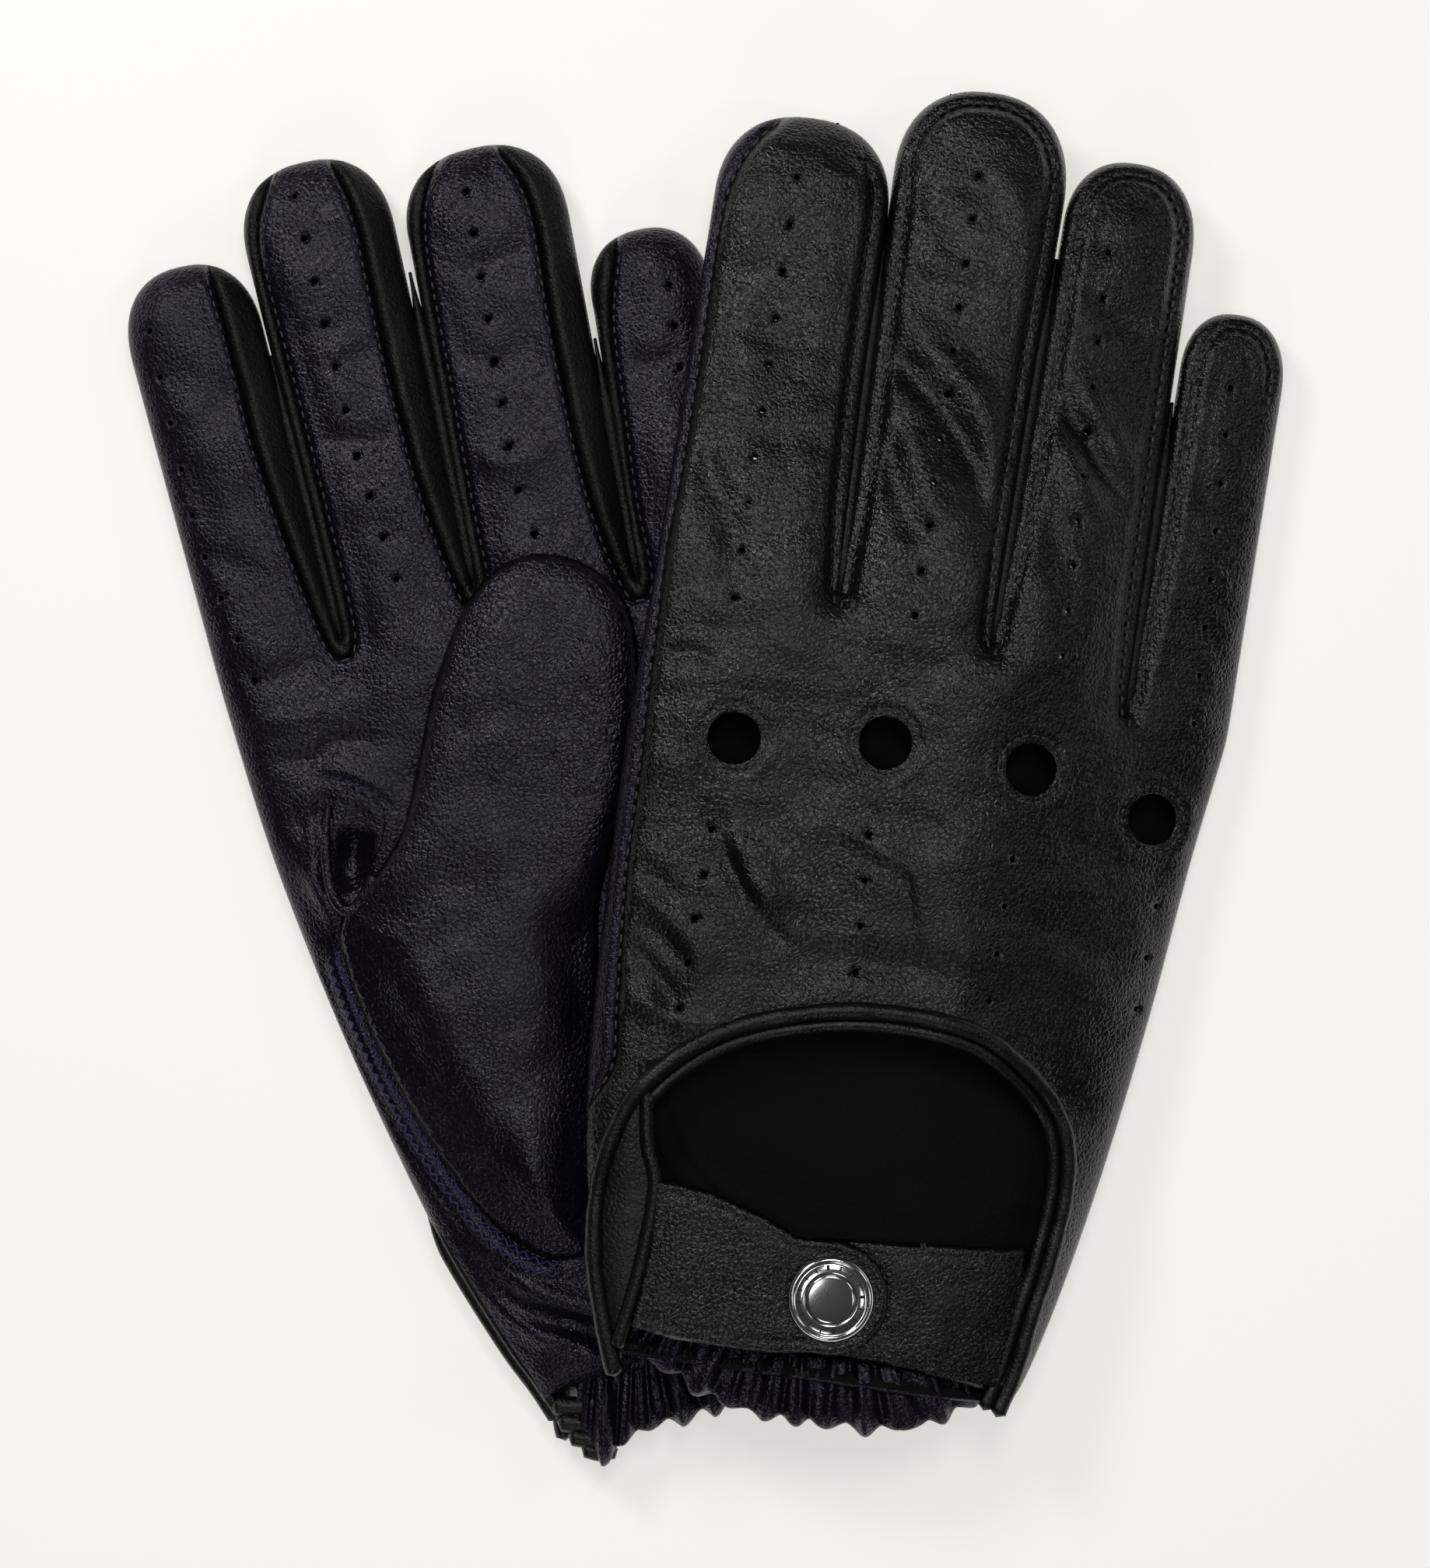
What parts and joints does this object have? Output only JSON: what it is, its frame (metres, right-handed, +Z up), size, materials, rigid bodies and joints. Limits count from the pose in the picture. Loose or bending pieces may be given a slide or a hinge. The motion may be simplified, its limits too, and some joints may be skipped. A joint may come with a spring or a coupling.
{
  "type": "pair of leather driving gloves",
  "caption": "Pair of unlined leather driving gloves with knuckle holes, open wrist back, snap straps and gathered elastic hems, lying one on the other.",
  "frame": {"origin": "on the table, under the middle of the pair's bounding box", "axes": "+Z up from the table; +Y roughly from the wrists to the fingertips; +X from the left glove to the right glove"},
  "size_m": [0.2146, 0.2498, 0.0328],
  "materials": {
    "back_leather": "semi-gloss black nappa with fine grain",
    "palm_leather": "satin aubergine-black nappa with fine grain",
    "sidewall_leather": "satin black",
    "binding_leather": "semi-gloss black, turned and rolled",
    "facing_leather": "matte black flesh side",
    "elastic_webbing": "matte black woven elastic",
    "snap_chrome": "polished",
    "snap_steel": "nickel-plated"
  },
  "bodies": {
    "left_glove": {"left_back_panel": "back_leather", "left_palm_panel": "palm_leather", "left_fourchette_index_middle": "sidewall_leather", "left_fourchette_middle_ring": "sidewall_leather", "left_fourchette_ring_little": "sidewall_leather", "left_knuckle_facing_index": "facing_leather", "left_knuckle_facing_middle": "facing_leather", "left_knuckle_facing_ring": "facing_leather", "left_knuckle_facing_little": "facing_leather", "left_thumb_heel": "palm_leather", "left_thumb_quirk": "palm_leather", "left_opening_binding": "binding_leather", "left_hem_casing": "palm_leather", "left_hem_elastic": "elastic_webbing", "left_strap_tab": "back_leather", "left_snap_stud": "snap_steel", "left_snap_eyelet": "snap_steel"},
    "left_thumb_part": {"left_thumb": "palm_leather"},
    "left_strap_part": {"left_strap": "back_leather", "left_snap_cap": "snap_chrome", "left_snap_socket": "snap_steel"},
    "right_glove": {"right_back_panel": "back_leather", "right_palm_panel": "palm_leather", "right_fourchette_index_middle": "sidewall_leather", "right_fourchette_middle_ring": "sidewall_leather", "right_fourchette_ring_little": "sidewall_leather", "right_knuckle_facing_index": "facing_leather", "right_knuckle_facing_middle": "facing_leather", "right_knuckle_facing_ring": "facing_leather", "right_knuckle_facing_little": "facing_leather", "right_thumb_heel": "palm_leather", "right_thumb_quirk": "palm_leather", "right_opening_binding": "binding_leather", "right_hem_casing": "palm_leather", "right_hem_elastic": "elastic_webbing", "right_strap_tab": "back_leather", "right_snap_stud": "snap_steel", "right_snap_eyelet": "snap_steel", "right_thumb": "palm_leather"},
    "right_strap_part": {"right_strap": "back_leather", "right_snap_cap": "snap_chrome", "right_snap_socket": "snap_steel"}
  },
  "joints": [
    {"name": "right_glove_lift", "type": "slide", "parent": "left_glove", "child": "right_glove", "axis": [0, 0, 1], "range_m": [0, 0.08]},
    {"name": "right_strap_open", "type": "hinge", "parent": "right_glove", "child": "right_strap_part", "pos_m": [-0.0103, -0.0871, 0.03015], "axis": [0.1364, -0.9907, 0], "range_deg": [0, 110]},
    {"name": "left_strap_open", "type": "hinge", "parent": "left_glove", "child": "left_strap_part", "pos_m": [-0.0316, -0.1023, 0.00295], "axis": [-0.5084, 0.8611, 0], "range_deg": [0, 110]},
    {"name": "left_thumb_swing", "type": "hinge", "parent": "left_glove", "child": "left_thumb_part", "pos_m": [-0.04279, -0.02763, 0.0175], "axis": [0.9996, 0.0295, 0], "range_deg": [0, 75]}
  ]
}
